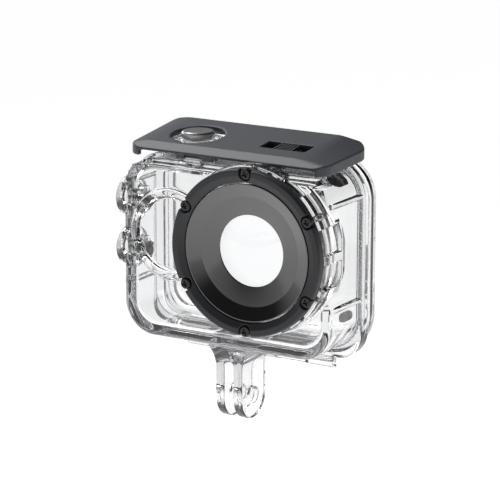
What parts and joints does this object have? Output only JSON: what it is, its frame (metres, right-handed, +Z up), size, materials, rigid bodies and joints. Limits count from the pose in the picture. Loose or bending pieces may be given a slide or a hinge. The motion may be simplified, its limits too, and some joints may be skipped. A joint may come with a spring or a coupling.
{
  "type": "action camera",
  "caption": "Clear waterproof dive housing for an action camera, with a sealed rear door, hinged latch cover, lens port and spring-loaded push-buttons.",
  "frame": {"origin": "Middle of the 5 mm cross hole through the two mount fingers.", "axes": "+Z up through the housing, -Y out through the lens port, +X to the right as seen from the front."},
  "size_m": [0.079, 0.041, 0.0875],
  "materials": {
    "clear_shell": "Clear moulded polycarbonate with polished faces and softly rounded edges.",
    "port_glass": "Flat optical glass, coated, almost invisible from the front.",
    "cover_grey": "Dark grey glass-filled nylon with a fine matt moulded grain.",
    "bezel_grey": "Dark grey satin moulding with a darker inner dish.",
    "hood_black": "Smooth black moulding, semi-gloss, that shades the lens.",
    "rubber_black": "Black rubber, slightly dusty matt.",
    "seal_silicone": "Pale translucent silicone with fine cross ribs.",
    "steel": "Stainless steel, turned and lightly polished.",
    "dark_steel": "Blackened stainless steel."
  },
  "bodies": {
    "housing": {"housing_shell": "clear_shell", "port_glass": "port_glass", "glass_gasket": "rubber_black", "lens_hood": "hood_black", "lens_bezel": "bezel_grey", "bezel_screw_1": "dark_steel", "bezel_screw_2": "dark_steel", "bezel_screw_3": "dark_steel", "bezel_screw_4": "dark_steel", "bezel_screw_5": "dark_steel", "bezel_screw_6": "dark_steel", "door_hinge_pin": "steel", "latch_pin_left": "steel", "latch_pin_right": "steel", "cushion_upper": "rubber_black", "cushion_lower": "rubber_black", "shutter_spring": "steel", "side_spring_upper": "steel", "side_spring_lower": "steel"},
    "door": {"rear_door": "clear_shell", "door_seal": "seal_silicone"},
    "latch": {"latch_cover": "cover_grey", "lock_spring": "steel"},
    "lock": {"lock_slider": "cover_grey", "lock_keeper": "hood_black"},
    "shutter": {"shutter_cap": "steel", "shutter_stem": "dark_steel", "shutter_oring": "rubber_black", "shutter_clip": "dark_steel"},
    "side_upper": {"side_cap_upper": "clear_shell", "side_stem_upper": "dark_steel", "side_oring_upper": "rubber_black", "side_clip_upper": "dark_steel"},
    "side_lower": {"side_cap_lower": "clear_shell", "side_stem_lower": "dark_steel", "side_oring_lower": "rubber_black", "side_clip_lower": "dark_steel"}
  },
  "joints": [
    {"name": "door_hinge", "type": "hinge", "parent": "housing", "child": "door", "pos_m": [0, 0.013, 0.011], "axis": [-1, 0, 0], "range_deg": [0, 110]},
    {"name": "latch_hinge", "type": "hinge", "parent": "housing", "child": "latch", "pos_m": [0, -0.0066, 0.0733], "axis": [1, 0, 0], "range_deg": [0, 70]},
    {"name": "lock_slide", "type": "slide", "parent": "latch", "child": "lock", "axis": [-1, 0, 0], "range_m": [0, 0.003], "stiffness_N_per_m": 300, "springref_m": -0.003, "deforming": ["lock_spring"]},
    {"name": "shutter_press", "type": "slide", "parent": "housing", "child": "shutter", "axis": [0, 0, -1], "range_m": [0, 0.0016], "stiffness_N_per_m": 600, "springref_m": -0.002, "deforming": ["shutter_spring"]},
    {"name": "side_press_upper", "type": "slide", "parent": "housing", "child": "side_upper", "axis": [1, 0, 0], "range_m": [0, 0.0012], "stiffness_N_per_m": 600, "springref_m": -0.002, "deforming": ["side_spring_upper"]},
    {"name": "side_press_lower", "type": "slide", "parent": "housing", "child": "side_lower", "axis": [1, 0, 0], "range_m": [0, 0.0012], "stiffness_N_per_m": 600, "springref_m": -0.002, "deforming": ["side_spring_lower"]}
  ]
}
